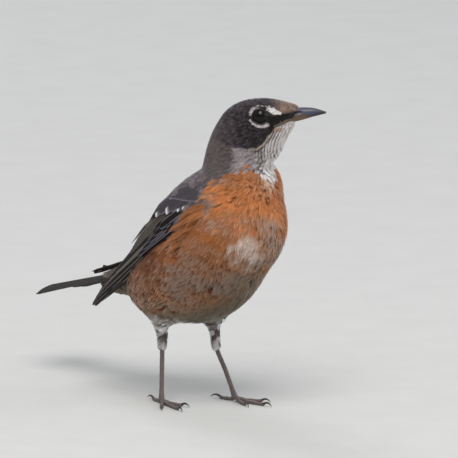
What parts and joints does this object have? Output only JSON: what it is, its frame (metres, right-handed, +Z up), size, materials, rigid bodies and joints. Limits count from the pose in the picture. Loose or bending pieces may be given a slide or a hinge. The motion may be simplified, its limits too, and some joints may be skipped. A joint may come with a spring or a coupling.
{
  "type": "american robin",
  "caption": "Life-size standing songbird with folded wings, an upright trunk and its head turned to its left.",
  "frame": {"origin": "centre of the whole bird's box, on the floor it stands on", "axes": "+Z up; the trunk faces -Y and the tail points to +Y; the bird's left side is at +X"},
  "size_m": [0.0658, 0.1988, 0.1778],
  "materials": {
    "hood_feathers": "matte",
    "slate_feathers": "matte",
    "rust_feathers": "matte",
    "flight_feathers": "satin",
    "dark_horn": "satin",
    "yellow_horn": "satin",
    "eye": "gloss",
    "leg_skin": "satin",
    "claw": "satin"
  },
  "bodies": {
    "root": {"head": "hood_feathers", "neck": "slate_feathers", "trunk": "rust_feathers", "rump": "slate_feathers", "bill_upper": "dark_horn", "bill_lower": "yellow_horn", "tail": "flight_feathers", "eye_right": "eye", "wing_right_coverts": "slate_feathers", "wing_right_secondaries": "flight_feathers", "wing_right_primaries": "flight_feathers", "thigh_right": "slate_feathers", "tarsus_right": "leg_skin", "foot_right": "leg_skin", "claw_right_hind": "claw", "claw_right_inner": "claw", "claw_right_middle": "claw", "claw_right_outer": "claw", "eye_left": "eye", "wing_left_coverts": "slate_feathers", "wing_left_secondaries": "flight_feathers", "wing_left_primaries": "flight_feathers", "thigh_left": "slate_feathers", "tarsus_left": "leg_skin", "foot_left": "leg_skin", "claw_left_hind": "claw", "claw_left_inner": "claw", "claw_left_middle": "claw", "claw_left_outer": "claw"}
  },
  "joints": []
}
